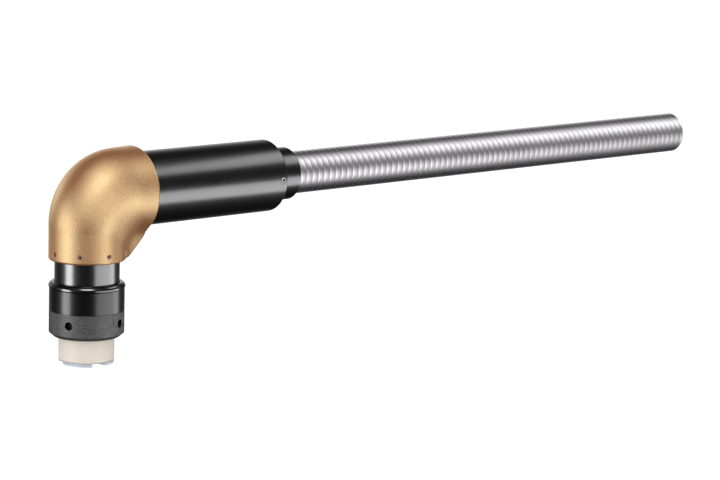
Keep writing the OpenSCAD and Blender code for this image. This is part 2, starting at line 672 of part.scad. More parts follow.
module collet_body() color([0.78, 0.45, 0.28]) at_head() difference() {
    union() {
        along_z(collet_nose_low, collet_body_top, collet_body_r);
        along_z(collet_flange_low, body_low, collet_flange_r);
    }
    along_z(collet_seat, collet_body_top + over, collet_r + fit_gap / 2);
    along_z(collet_nose_low - over, collet_seat + over, electrode_r + run_gap);
    for (i = [0:gas_hole_count - 1]) rotate([0, 0, 360 * i / gas_hole_count])
        translate([0, 0, collet_flange_low + collet_flange_h / 2])
            along_x(0, collet_flange_r + over, gas_hole_r);
}

slit_w = 0.5;
slit_share = 22;          // length of the collet's slits
module collet() color([0.75, 0.42, 0.26]) at_head() difference() {
    tube_z(collet_seat + fit_gap, collet_body_top - over, collet_r, collet_bore_r);
    for (a = [0, 90]) rotate([0, 0, a])
        translate([-collet_r - over, -slit_w / 2, collet_seat + fit_gap - over])
            cube([2 * (collet_r + over), slit_w, slit_share + over]);
}

point_flat = 0.25;
electrode_low = nozzle_low - lip_out + point_back;
module electrode() color([0.45, 0.45, 0.48]) at_head() rotate_extrude() polygon([
    [0, electrode_low], [point_flat, electrode_low], [electrode_r, electrode_low + point_len],
    [electrode_r, electrode_low + electrode_len], [0, electrode_low + electrode_len]]);

diffuser_hole_r = 0.9;
diffuser_r = nozzle_bore_r - move_gap;
module gas_diffuser() color([0.70, 0.52, 0.32]) at_head() difference() {
    tube_z(collet_flange_low - diffuser_h, collet_flange_low, diffuser_r, collet_body_r + fit_gap);
    for (i = [0:diffuser_holes - 1]) rotate([0, 0, 360 * i / diffuser_holes])
        translate([(diffuser_r + collet_flange_r) / 2, 0, 0])
        along_z(collet_flange_low - diffuser_h - over, collet_flange_low + over, diffuser_hole_r);
}

// ---------------------------------------------------------------- strain relief in the barrel

grommet_x = elbow_reach + grommet_from;
grommet_r = barrel_bore_r - fit_gap;
bolt_r = 1.5;
bolt_head_r = 2.75;
bolt_head_h = 3;
bolt_out = grommet_r - 6.5;
module lead_holes(a, b) {
    for (h = [[power_at, power_d], [coolant_at, coolant_d], [gas_at, gas_d], [sense_at, sense_d]])
        translate([0, h[0][0], h[0][1]]) along_x(a - over, b + over, h[1] / 2 + fit_gap);
}
module bolt_places() for (s = [-1, 1]) translate([0, s * bolt_out, 0]) children();
module clamp_disc(a, b, r) difference() {
    along_x(a, b, r);
    lead_holes(a, b);
    bolt_places() along_x(a - over, b + over, bolt_r + fit_gap / 2);
}
grommet_front = grommet_x - grommet_len / 2;
grommet_rear = grommet_x + grommet_len / 2;
clamp_front = grommet_front - plate_t;
clamp_rear = grommet_rear + plate_t;
module lead_grommet() color([0.12, 0.12, 0.12]) at_head() clamp_disc(grommet_front, grommet_rear, grommet_r);
module front_clamp_plate() color([0.6, 0.61, 0.62]) at_head()
    clamp_disc(clamp_front, grommet_front, grommet_r);
module rear_clamp_plate() color([0.6, 0.61, 0.62]) at_head()
    clamp_disc(grommet_rear, clamp_rear, grommet_r);
module clamp_bolts() color([0.65, 0.66, 0.68]) at_head() bolt_places() difference() {
    union() {
        along_x(clamp_front, clamp_rear, bolt_r);
        along_x(clamp_rear, clamp_rear + bolt_head_h, bolt_head_r);
    }
    translate([clamp_rear + bolt_head_h / 2, 0, 0]) rotate([0, 90, 0])
        cylinder(h = bolt_head_h, r = bolt_r, $fn = 6);
}

elbow_housing();
barrel_tube();
hose_collar();
protective_hose();
hose_ferrule();
neck_tube();
retaining_cap();
gas_nozzle();
nozzle_tip();
elbow_set_screws();
barrel_set_screws();
insulator_sleeve();
torch_body();
cooling_jacket();
body_lock_ring();
collet_body();
collet();
electrode();
gas_diffuser();
power_fitting();
coolant_fitting();
gas_fitting();
crimp_ferrules();
power_hose();
copper_rope();
coolant_hose();
gas_hose();
sense_lead();
lead_grommet();
front_clamp_plate();
rear_clamp_plate();
clamp_bolts();
barrel_o_ring();
neck_o_ring();
nozzle_o_ring();
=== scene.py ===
import math

import bmesh
import bpy
import numpy as np
from mathutils import Matrix, Vector


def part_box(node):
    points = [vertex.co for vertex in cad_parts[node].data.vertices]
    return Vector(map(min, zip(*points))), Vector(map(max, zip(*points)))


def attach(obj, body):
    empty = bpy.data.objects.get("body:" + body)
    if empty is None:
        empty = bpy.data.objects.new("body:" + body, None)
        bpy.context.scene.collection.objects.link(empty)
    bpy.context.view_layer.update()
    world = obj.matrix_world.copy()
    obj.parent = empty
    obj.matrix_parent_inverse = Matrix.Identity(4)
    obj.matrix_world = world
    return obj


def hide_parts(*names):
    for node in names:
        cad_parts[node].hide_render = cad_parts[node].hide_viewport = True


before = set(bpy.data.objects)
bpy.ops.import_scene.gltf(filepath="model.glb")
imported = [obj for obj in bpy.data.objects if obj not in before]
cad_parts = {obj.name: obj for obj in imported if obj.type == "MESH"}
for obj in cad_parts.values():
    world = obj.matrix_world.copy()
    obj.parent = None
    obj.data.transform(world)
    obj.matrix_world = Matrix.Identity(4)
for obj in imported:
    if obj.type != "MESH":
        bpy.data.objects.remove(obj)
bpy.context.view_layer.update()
mm = 0.001
weldGap = 0.002 * mm  # points closer than this become one


def middleOf(node):
    low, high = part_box(node)
    return (low + high) / 2


headX = middleOf("neck_tube").x
print("frame loaded, head axis at x =", round(headX, 5))


# camera: its place in metres, its turn in degrees, from -Y towards +X

cameraSetup = {
    "place": (-1.2412, -1.54865, 0.31078),
    "azimuth": -41.928,
    "elevation": 9.981,
    "roll": 1.481,
    "lens": 144.73,
    "sensor": 36,
}


def directionAt(azimuth, elevation):
    turn, rise = math.radians(azimuth), math.radians(elevation)
    return Vector((math.sin(turn) * math.cos(rise), -math.cos(turn) * math.cos(rise), math.sin(rise)))


def addCamera(setup):
    lens = bpy.data.cameras.new("camera")
    lens.lens = setup["lens"]
    lens.sensor_width = setup["sensor"]
    camera = bpy.data.objects.new("camera", lens)
    bpy.context.scene.collection.objects.link(camera)
    back = directionAt(setup["azimuth"], setup["elevation"])
    right = Vector((0, 0, 1)).cross(back).normalized()
    level = Matrix((right, back.cross(right), back)).transposed().to_4x4()
    camera.matrix_world = (Matrix.Translation(setup["place"]) @ level
                           @ Matrix.Rotation(math.radians(setup["roll"]), 4, "Z"))
    bpy.context.scene.camera = camera


addCamera(cameraSetup)
print("camera placed")


# node trees written as expressions

class Wire:
    def __init__(self, graph, socket):
        self.graph = graph
        self.socket = socket

    def maths(self, operation, *others):
        return self.graph.maths(operation, self, *others)

    def also(self, output):
        return Wire(self.graph, self.socket.node.outputs[output])

    def __add__(self, other):
        return self.maths("ADD", other)

    def __sub__(self, other):
        return self.maths("SUBTRACT", other)

    def __rsub__(self, other):
        return self.graph.maths("SUBTRACT", other, self)

    def __mul__(self, other):
        return self.maths("MULTIPLY", other)

    def __truediv__(self, other):
        return self.maths("DIVIDE", other)

    def __rtruediv__(self, other):
        return self.graph.maths("DIVIDE", other, self)

    def __pow__(self, other):
        return self.maths("POWER", other)

    def __mod__(self, other):
        return self.maths("MODULO", other)

    def __gt__(self, other):
        return self.maths("GREATER_THAN", other)

    __radd__ = __add__
    __rmul__ = __mul__


class Graph:
    def __init__(self, tree):
        self.tree = tree

    def node(self, kind, settings=None, values=None, out=0):
        made = self.tree.nodes.new(kind)
        for name, value in (settings or {}).items():
            setattr(made, name, value)
        for key, value in (values or {}).items():
            if isinstance(value, Wire):
                self.tree.links.new(value.socket, made.inputs[key])
            else:
                made.inputs[key].default_value = value
        return Wire(self, made.outputs[out]) if len(made.outputs) else None

    def maths(self, operation, *values):
        return self.node("ShaderNodeMath", {"operation": operation}, dict(enumerate(values)))

    def mix(self, share, first, second):
        return self.node("ShaderNodeMix", {"data_type": "RGBA"}, {0: share, 6: first, 7: second}, 2)

    def step(self, value, start, end):
        return self.node("ShaderNodeMapRange", {"interpolation_type": "SMOOTHSTEP"},
                         {"Value": value, "From Min": start, "From Max": end})

    def noise(self, at, scale, detail=2, roughness=0.5):
        return self.node("ShaderNodeTexNoise", None,
                         {"Vector": at, "Scale": scale, "Detail": detail, "Roughness": roughness})

    def lines(self, place, scale, detail=2):
        return self.node("ShaderNodeTexNoise", {"noise_dimensions": "1D"},
                         {"W": place, "Scale": scale, "Detail": detail})

    def position(self):
        return self.node("ShaderNodeTexCoord", out="Object")

    def apart(self, vector):
        x = self.node("ShaderNodeSeparateXYZ", None, {0: vector})
        return {"x": x, "y": x.also("Y"), "z": x.also("Z")}

    def bump(self, height, distance, strength):
        return self.node("ShaderNodeBump", None,
                         {"Height": height, "Distance": distance, "Strength": strength})


# finishes

def linear(channel):
    return channel / 12.92 if channel <= 0.04045 else ((channel + 0.055) / 1.055) ** 2.4


def tint(red, green, blue):
    return (linear(red), linear(green), linear(blue), 1)


def darker(share, colour):
    return tint(*(share * channel for channel in colour))


def newFinish(name):
    made = bpy.data.materials.new(name)
    made.use_nodes = True
    made.node_tree.nodes.clear()
    return made, Graph(made.node_tree)


def shade(graph, values):
    surface = graph.node("ShaderNodeBsdfPrincipled", None, values)
    graph.node("ShaderNodeOutputMaterial", None, {"Surface": surface})


# bright grains of brass standing out of a darker, browner casting skin, both a little worn at the rims
brassLook = {
    "bright": ((0.96, 0.86, 0.64), (0.99, 0.91, 0.71)), "brightRoughness": 0.36,
    "skin": ((0.67, 0.29, 0.07), (0.80, 0.40, 0.13)), "skinRoughness": 0.55, "skinShare": 0.38,
    "cloud": 60, "grain": 1000, "fine": 2400, "grainDepth": 0.08,
    "wearFrom": 0.9, "wearTo": 0.1,
}


def castBrass(look):
    made, graph = newFinish("castBrass")
    at = graph.position()
    place = graph.apart(at)
    cloud = graph.noise(at, look["cloud"], detail=3)
    grain = graph.noise(at, look["grain"], roughness=0.6)
    fine = graph.noise(at, look["fine"], detail=1)
    drop, reach = elbowShape["drop"], elbowShape["reach"]
    wearFrom, wearTo = look["wearFrom"], look["wearTo"]
    rimLow = graph.step(place["z"], (wearFrom - drop) * mm, (wearTo - drop) * mm)
    rimRear = graph.step(place["x"] - headX, (reach - wearFrom) * mm, (reach - wearTo) * mm)
    rim = rimLow.maths("MAXIMUM", rimRear)
    speckle = graph.step(grain * 0.6 + fine * 0.4, start=0.3, end=0.7)
    relief = graph.bump(grain + fine * 0.5, look["grainDepth"] * mm, strength=0.5)
    bright = graph.node("ShaderNodeBsdfPrincipled", None, {
        "Base Color": graph.mix(cloud, *(tint(*colour) for colour in look["bright"])), "Metallic": 1.0,
        "Roughness": look["brightRoughness"] + (grain - 0.5) * 0.2 - rim * 0.1, "Normal": relief})
    skin = graph.node("ShaderNodeBsdfPrincipled", None, {
        "Base Color": graph.mix(speckle, *(tint(*colour) for colour in look["skin"])),
        "Roughness": look["skinRoughness"] + (fine - 0.5) * 0.2, "Normal": relief})
    share = look["skinShare"] - (speckle - 0.5) * 0.3 - (cloud - 0.5) * 0.1 - rim * 0.1
    surface = graph.node("ShaderNodeMixShader", None, {0: share, 1: bright, 2: skin})
    graph.node("ShaderNodeOutputMaterial", None, {"Surface": surface})
    return made


def blackMetal(name, colour, roughness, index, along, lineDepth):
    made, graph = newFinish(name)
    at = graph.position()
    tool = graph.lines(graph.apart(at)[along], scale=9000, detail=3)
    smear = graph.noise(at, scale=90, detail=3)
    shade(graph, {"Base Color": graph.mix(smear, darker(0.7, colour), tint(*colour)),
                  "Roughness": roughness + (smear - 0.5) * 0.05 + (tool - 0.5) * 0.04, "IOR": index,
                  "Normal": graph.bump(tool, lineDepth * mm, strength=0.3)})
    return made


def knurledBlack(dark, worn, roughness, index):
    made, graph = newFinish("knurledBlack")
    at = graph.position()
    grime = graph.noise(at, scale=1100, detail=3, roughness=0.6)
    flecks = (260, 260, 1300)  # five times wider than high
    stretched = graph.node("ShaderNodeVectorMath", {"operation": "MULTIPLY"}, {0: at, 1: flecks})
    dull = graph.step(grime * 0.6 + graph.noise(stretched, scale=1) * 0.4, start=0.35, end=0.65)
    shade(graph, {"Base Color": graph.mix(dull, tint(*dark), tint(*worn)),
                  "Roughness": roughness + (grime - 0.5) * 0.5, "IOR": index,
                  "Normal": graph.bump(grime, 0.06 * mm, strength=0.5)})
    return made


def glazedCeramic(name, dark, light, roughness):
    made, graph = newFinish(name)
    at = graph.position()
    cloud = graph.noise(at, scale=60, detail=3)
    grain = graph.noise(at, scale=2500)
    shade(graph, {"Base Color": graph.mix(cloud * 0.7 + grain * 0.3, tint(*dark), tint(*light)),
                  "Roughness": roughness + (cloud - 0.5) * 0.1, "IOR": 1.55,
                  "Normal": graph.bump(grain, 0.01 * mm, strength=0.3)})
    return made


def brightSteel(dark, light, roughness):
    made, graph = newFinish("brightSteel")
    at = graph.position()
    scuff = graph.noise(at, scale=400, detail=3)
    cloud = graph.noise(at, scale=40)
    shade(graph, {"Base Color": graph.mix(cloud, tint(*dark), tint(*light)), "Metallic": 1.0,
                  "Roughness": roughness + scuff * 0.1,
                  "Normal": graph.bump(scuff, 0.01 * mm, strength=0.4)})
    return made


def turnedMetal(name, colour, roughness, along="z"):
    made, graph = newFinish(name)
    at = graph.position()
    tool = graph.lines(graph.apart(at)[along], scale=6000)
    cloud = graph.noise(at, scale=120, detail=3)
    shade(graph, {"Base Color": graph.mix(cloud, darker(0.86, colour), tint(*colour)),
                  "Metallic": 1.0, "Roughness": roughness + (tool - 0.5) * 0.12 + (cloud - 0.5) * 0.08,
                  "Normal": graph.bump(tool, 0.02 * mm, strength=0.4)})
    return made


def mouldedPart(name, colour, roughness):
    made, graph = newFinish(name)
    at = graph.position()
    grain = graph.noise(at, scale=900, detail=3)
    cloud = graph.noise(at, scale=80)
    shade(graph, {"Base Color": graph.mix(cloud, darker(0.88, colour), tint(*colour)),
                  "Roughness": roughness + (grain - 0.5) * 0.15,
                  "Normal": graph.bump(grain, 0.03 * mm, strength=0.4)})
    return made


# meshes

def addPiece(name, mesh, finish, slot, body, *nodes):
    piece = bpy.data.objects.new(name, mesh)
    bpy.context.scene.collection.objects.link(piece)
    mesh.materials.clear()
    mesh.materials.append(finish)
    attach(piece, body)
    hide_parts(*nodes)
    return piece


usualSharpAngle = 35  # edges between faces that turn by more degrees than this stay sharp


def closedMesh(name, points, faces):
    mesh = bpy.data.meshes.new(name)
    placed = np.array(points, float) * mm + (headX, 0, 0)
    mesh.from_pydata(placed.tolist(), [], faces)
    return tidyMesh(mesh)


def tidyMesh(mesh, sharpAngle=usualSharpAngle):
    shell = bmesh.new()
    shell.from_mesh(mesh)
    bmesh.ops.remove_doubles(shell, verts=shell.verts, dist=weldGap)
    bmesh.ops.recalc_face_normals(shell, faces=shell.faces)
    shell.to_mesh(mesh)
    shell.free()
    mesh.polygons.foreach_set("use_smooth", [True] * len(mesh.polygons))
    mesh.set_sharp_from_angle(angle=math.radians(sharpAngle))
    return mesh


def ringFaces(rings, sides, closed=True):
    joints = range(rings) if closed else range(rings - 1)
    return [(i * sides + j, i * sides + (j + 1) % sides,
             (i + 1) % rings * sides + (j + 1) % sides, (i + 1) % rings * sides + j)
            for i in joints for j in range(sides)]


# usual roundings of turned edges, in millimetres
fineEdge, smallEdge, plainEdge, wideEdge = 0.15, 0.2, 0.3, 0.4


# corners are (radius, place, rounding); a rounded corner becomes an arc with a short run beside it
def rounded(corners):
    steps, beside = 6, 1.35
    outline = []
    for i, (radius, place, rounding) in enumerate(corners):
        here = Vector((radius, place))
        if rounding == 0:
            outline.append(here)
            continue
        back = Vector(corners[i - 1][:2]) - here
        on = Vector(corners[(i + 1) % len(corners)][:2]) - here
        half = back.angle(on) / 2
        run = rounding / math.tan(half)
        back.normalize()
        on.normalize()
        centre = here + (back + on).normalized() * rounding / math.sin(half)
        first, last = here + back * run - centre, here + on * run - centre
        turn = first.angle_signed(last)
        outline.append(here + back * run * beside)
        for k in range(steps + 1):
            angle = -turn * k / steps
            outline.append(centre + Vector((first.x * math.cos(angle) - first.y * math.sin(angle),
                                            first.x * math.sin(angle) + first.y * math.cos(angle))))
        outline.append(here + on * run * beside)
    return outline


# corners given as numbers or by the names of a shape's sizes
def outlineOf(shape, *corners):
    def size(value):
        return shape[value] if isinstance(value, str) else value

    return rounded([(size(radius), size(place), rounding) for radius, place, rounding in corners])


def turned(name, outline, along="z", sides=144):
    angles = [2 * math.pi * j / sides for j in range(sides)]
    if along == "z":
        points = [(r * math.cos(f), r * math.sin(f), s) for r, s in outline for f in angles]
    else:
        points = [(s, r * math.cos(f), r * math.sin(f)) for r, s in outline for f in angles]
    return closedMesh(name, points, ringFaces(len(outline), sides))


def cutAway(mesh, cutter, sharpAngle=usualSharpAngle):
    body = bpy.data.objects.new("cutBody", mesh)
    tool = bpy.data.objects.new("cutTool", cutter)
    for thing in (body, tool):
        bpy.context.scene.collection.objects.link(thing)
    cut = body.modifiers.new("cut", "BOOLEAN")
    cut.operation = "DIFFERENCE"
    cut.solver = "EXACT"
    cut.object = tool
    result = bpy.data.meshes.new_from_object(body.evaluated_get(bpy.context.evaluated_depsgraph_get()))
    bpy.data.objects.remove(body)
    bpy.data.objects.remove(tool)
    return tidyMesh(result, sharpAngle)


drillRoom = 1  # how far inside a bore the drills start


# a drill that starts at inner and widens a little where it meets the surface
def drillOutline(radius, inner, surface, flare):
    return [(radius, inner), (radius, surface - flare), (radius + 2 * flare, surface + flare)]


# several turned tools in one mesh, each placed by a matrix in the head's millimetres
def toolSet(outline, places, sides=32):
    points, faces = [], []
    for place in places:
        first = len(points)
        for r, s in outline:
            for j in range(sides):
                angle = 2 * math.pi * j / sides
                points.append(place @ Vector((s, r * math.cos(angle), r * math.sin(angle))))
        faces += [[first + k for k in face] for face in ringFaces(len(outline), sides, False)]
        faces.append([first + j for j in reversed(range(sides))])
        faces.append([first + (len(outline) - 1) * sides + j for j in range(sides)])
    return closedMesh("tools", points, faces)


# places round the head's axis, each with its x axis pointing outwards
def placesRound(height, turn, count, first=0):
    lift = Matrix.Translation((0, 0, height))
    return [lift @ Matrix.Rotation(math.radians(turn + 360 * k / count), 4, "Z")
            for k in range(first, count)]


# geometry trees

def newTree(name, inputs):
    tree = bpy.data.node_groups.new(name, "GeometryNodeTree")
    for label, kind in inputs.items():
        tree.interface.new_socket(label, in_out="INPUT", socket_type="NodeSocket" + kind)
    tree.interface.new_socket("Geometry", in_out="OUTPUT", socket_type="NodeSocketGeometry")
    graph = Graph(tree)
    entry = tree.nodes.new("NodeGroupInput")
    return graph, {label: Wire(graph, entry.outputs[label]) for label in inputs}


def closeTree(graph, geometry):
    real = graph.node("GeometryNodeRealizeInstances", None, {0: geometry})
    finish = Wire(graph, graph.tree.nodes["Group Input"].outputs["Finish"])
    painted = graph.node("GeometryNodeSetMaterial", None, {"Geometry": real, "Material": finish})
    graph.node("NodeGroupOutput", None, {"Geometry": painted})


def growMesh(name, graph, values):
    seed = bpy.data.objects.new(name + "Seed", bpy.data.meshes.new(name + "Seed"))
    bpy.context.scene.collection.objects.link(seed)
    grow = seed.modifiers.new("grow", "NODES")
    grow.node_group = graph.tree
    for item in graph.tree.interface.items_tree:
        if item.in_out == "INPUT":
            grow[item.identifier] = values[item.name]
    mesh = bpy.data.meshes.new_from_object(seed.evaluated_get(bpy.context.evaluated_depsgraph_get()))
    seed.modifiers.remove(grow)
    bpy.data.objects.remove(seed)
    mesh.name = name
    return mesh


# protective hose: a slightly domed steel strip wound on a helix, turn against turn, cut square

hoseShape = {
    "crest": 15.25,
    "ribHeight": 0.14,
    "bore": 12.2,
    "boreRib": 0.35,
    "ribs": 78,
    "dome": 2.6,
    "sides": 72,
    "steps": 14,
    "weld": 0.005,
    "sharpAngle": 14,
    "pathStep": 0.01,  # metres between the points of its route
}


def windTree():
    graph, given = newTree("woundStrip", {
        "Start": "Float", "Pitch": "Float", "Ribs": "Int", "Root": "Float", "Rib Height": "Float",
        "Dome": "Float", "Steps": "Int", "Sides": "Int", "Weld": "Float", "Finish": "Material"})
    turns = given["Ribs"] + 2  # one more turn at each end, for the square cuts
    grid = graph.node("GeometryNodeMeshGrid", None, {
        "Size X": 1, "Size Y": 1, "Vertices X": turns * given["Steps"] + 1,
        "Vertices Y": given["Sides"] + 1}, "Mesh")
    flat = graph.apart(graph.node("GeometryNodeInputPosition"))
    rib = (flat["x"] + 0.5) * turns
    turn = flat["y"] + 0.5
    phase = rib.maths("FRACT")
    crest = 1 - (2 * phase - 1).maths("ABSOLUTE") ** given["Dome"]
    radius = given["Root"] + given["Rib Height"] * crest
    angle = turn * 2 * math.pi
    place = graph.node("ShaderNodeCombineXYZ", None, {
        "X": given["Start"] + given["Pitch"] * (rib + turn - 2),
        "Y": radius * angle.maths("COSINE"), "Z": radius * angle.maths("SINE")})
    wound = graph.node("GeometryNodeSetPosition", None, {"Geometry": grid, "Position": place})
    closeTree(graph, graph.node("GeometryNodeMergeByDistance", None,
                                {"Geometry": wound, "Distance": given["Weld"]}))
    return graph


def cutSquare(shell, place, facing, middle):
    onPlane, nearPlane = 0.001 * mm, 0.01 * mm
    bmesh.ops.bisect_plane(shell, geom=shell.verts[:] + shell.edges[:] + shell.faces[:], dist=onPlane,
                           plane_co=(place, 0, 0), plane_no=(facing, 0, 0), clear_outer=True)
    bmesh.ops.remove_doubles(shell, verts=shell.verts, dist=weldGap)
    rim = {v for edge in shell.edges if edge.is_boundary for v in edge.verts
           if abs(v.co.x - place) < nearPlane}
    turns = {v: math.atan2(v.co.z, v.co.y) for v in rim}
    outside = sorted((v for v in rim if v.co.yz.length > middle), key=turns.get)
    inside = sorted((v for v in rim if v.co.yz.length <= middle), key=turns.get)

    def turnOf(loop, k):
        return turns[loop[k % len(loop)]] + 2 * math.pi * (k // len(loop))

    # close the end with a flat ring, stepping along whichever edge is behind
    out, ins = 0, 0
    while out < len(outside) or ins < len(inside):
        corners = [outside[out % len(outside)], inside[ins % len(inside)]]
        if turnOf(outside, out + 1) < turnOf(inside, ins + 1):
            out += 1
            corners.append(outside[out % len(outside)])
        else:
            ins += 1
            corners.append(inside[ins % len(inside)])
        shell.faces.new(corners)


def makeHose(shape, finish):
    low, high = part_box("protective_hose")
    graph = windTree()
    common = {"Start": low.x, "Ribs": shape["ribs"], "Pitch": (high.x - low.x) / shape["ribs"],
              "Dome": shape["dome"], "Weld": shape["weld"] * mm, "Finish": finish}
    outer = growMesh("hoseOuter", graph, {
        **common, "Root": (shape["crest"] - shape["ribHeight"]) * mm,
        "Rib Height": shape["ribHeight"] * mm, "Steps": shape["steps"], "Sides": shape["sides"]})
    inner = growMesh("hoseInner", graph, {
        **common, "Root": (shape["bore"] + shape["boreRib"]) * mm,
        "Rib Height": -shape["boreRib"] * mm, "Steps": shape["steps"] // 2,
        "Sides": shape["sides"] // 2})
    shell = bmesh.new()
    shell.from_mesh(outer)
    shell.from_mesh(inner)
    middle = (shape["crest"] + shape["bore"]) / 2 * mm
    cutSquare(shell, low.x, -1, middle)
    cutSquare(shell, high.x, 1, middle)
    shell.to_mesh(outer)
    shell.free()
    piece = addPiece("wound_hose", tidyMesh(outer, shape["sharpAngle"]), finish, "hose_steel", "torch",
                     "protective_hose")


makeHose(hoseShape, brightSteel(dark=(0.84, 0.83, 0.85), light=(0.92, 0.91, 0.93), roughness=0.2))
print("hose wound")


# elbow: every ring of the casting lies in a plane through the line where the two rim planes meet

elbowShape = {
    "reach": 38.7, "drop": 44.4, "bend": 22.8,
    "frontRadius": 26.15, "bendEndRadius": 29.55, "rearRadius": 30.1,
    "rimRound": 1.6, "corner": 8.0,
    "webAtNeck": 10.6, "webAtBarrel": 12.4, "webDraft": 0.34, "webFoot": 1.4, "webHead": 0.7,
    "webBlend": 6.0, "webSoft": 2.0, "webFaceSoft": 0.8, "webStart": 0.45,
    "neckSocket": 22.15, "barrelSocket": 25.1, "hollow": 20.65, "socketChamfer": 0.3,
    "neckTop": -32.4, "barrelFront": 22.7, "skinInset": 0.04,
    "screwHole": 1.55, "screwFlare": 0.3, "screwHeight": -39.2, "screwTurn": -2, "screws": 8,
    "rings": 96, "sides": 208, "crowding": 0.4, "hollowRings": 24, "sharpAngle": 30,
}


def elbowOuter(shape):
    reach, drop, bend = shape["reach"], shape["drop"], shape["bend"]
    front, rear = shape["frontRadius"], shape["rearRadius"]
    tiny = 1e-6  # keeps a division away from zero
    ring = math.pi / 4 * (1 - np.cos(np.linspace(0, math.pi, shape["rings"])))[:, None]
    side = np.linspace(0, 2 * math.pi, shape["sides"], endpoint=False)[None, :]
    side = side + shape["crowding"] * np.sin(side)
    awayX, awayZ = -np.cos(ring), np.sin(ring)

    # distance from the pivot line to the centre line, along each ring's plane
    dot = -(reach - bend) * np.cos(ring) - (drop - bend) * np.sin(ring)
    toBend = math.hypot(reach - bend, drop - bend)
    onBend = -dot + np.sqrt(np.maximum(dot ** 2 - toBend ** 2 + bend ** 2, 0))
    onNeck = reach * np.sin(ring) <= (drop - bend) * np.cos(ring)
    onBarrel = drop * np.cos(ring) <= (reach - bend) * np.sin(ring)
    distance = np.where(onNeck, reach / np.maximum(np.cos(ring), tiny),
                        np.where(onBarrel, drop / np.maximum(np.sin(ring), tiny), onBend))
    centreX, centreZ = reach + distance * awayX, -drop + distance * awayZ

    def tubeGap(x, y, z):
        turn = np.arctan2(z + bend, bend - x) / (math.pi / 2)
        onTheBend = (np.hypot(np.hypot(bend - x, z + bend) - bend, y)
                     - (front + (shape["bendEndRadius"] - front) * turn))
        flare = (rear - shape["bendEndRadius"]) * (x - bend) / (reach - bend)
        onTheStub = np.hypot(y, z) - shape["bendEndRadius"] - flare
        return np.where(z < -bend, np.hypot(x, y) - front, np.where(x > bend, onTheStub, onTheBend))

    def cornerGap(x, z):
        first, second, soft = x - front, -rear - z, shape["corner"]
        return (np.maximum(soft, np.minimum(first, second))
                - np.hypot(np.maximum(soft - first, 0), np.maximum(soft - second, 0)))

    # halves a span of lengths until the gap's zero is found
    def crossing(gap):
        start, span, halvings = 15.0, 55, 28
        near = np.full(np.broadcast(ring, side).shape, start)
        far = near + span
        for k in range(halvings):
            middle = (near + far) / 2
            beyond = gap(middle) > 0
            far = np.where(beyond, middle, far)
            near = np.where(beyond, near, middle)
        return (near + far) / 2

    toTube = crossing(lambda t: tubeGap(centreX + t * np.cos(side) * awayX, t * np.sin(side),
                                        centreZ + t * np.cos(side) * awayZ))
    toSide = crossing(lambda t: tubeGap(centreX + 0 * t, t, centreZ + 0 * t))
    toCorner = crossing(lambda t: cornerGap(centreX - t * awayX, centreZ - t * awayZ))

    # the gusset web: a sloping flat face between the rims, with soft long edges
    lowX, lowZ = front + shape["webFoot"], -drop
    runX, runZ = reach - lowX, -(rear + shape["webHead"]) - lowZ
    toWeb = ((lowX - centreX) * runZ - (lowZ - centreZ) * runX) / (-awayX * runZ + awayZ * runX)

    def smoothMax(first, second, soft):
        return np.maximum(first, second) + np.maximum(soft - abs(first - second), 0) ** 2 / (4 * soft)

    webWidth = (shape["webAtNeck"] + (shape["webAtBarrel"] - shape["webAtNeck"]) * ring / (math.pi / 2)
                + shape["webDraft"] * toWeb)
    flattest, farthest = 0.001, 70
    slope = abs(np.sin(side)) - shape["webDraft"] * np.minimum(np.cos(side), 0)
    webSide = np.minimum(webWidth / np.maximum(slope, flattest), farthest)

    # the web and the soft inner corner only act on the lower side, and start gently
    below = np.clip(-np.cos(side) / shape["webStart"], 0, 1)
    below = below * below * (3 - 2 * below)
    oval = toTube + below * (1 / np.hypot(np.cos(side) / toCorner, np.sin(side) / toSide) - toTube)
    gusset = oval + below * (smoothMax(oval, webSide, shape["webBlend"]) - oval)
    limit = smoothMax(oval, toWeb / np.maximum(-np.cos(side), tiny), shape["webFaceSoft"])
    length = np.where(np.cos(side) >= 0, toTube, -smoothMax(-gusset, -limit, shape["webSoft"]))

    def pointAt(t):
        return centreX + t * np.cos(side) * awayX, t * np.sin(side), centreZ + t * np.cos(side) * awayZ

    def inset(depth):
        soft = shape["rimRound"]
        depth = np.clip(depth, 0, soft)
        return soft - np.sqrt(soft ** 2 - (soft - depth) ** 2)

    x, y, z = pointAt(length)
    x, y, z = pointAt(length - shape["skinInset"] - inset(z + drop) - inset(reach - x))
    return np.stack([x, y, z], -1), side[0]


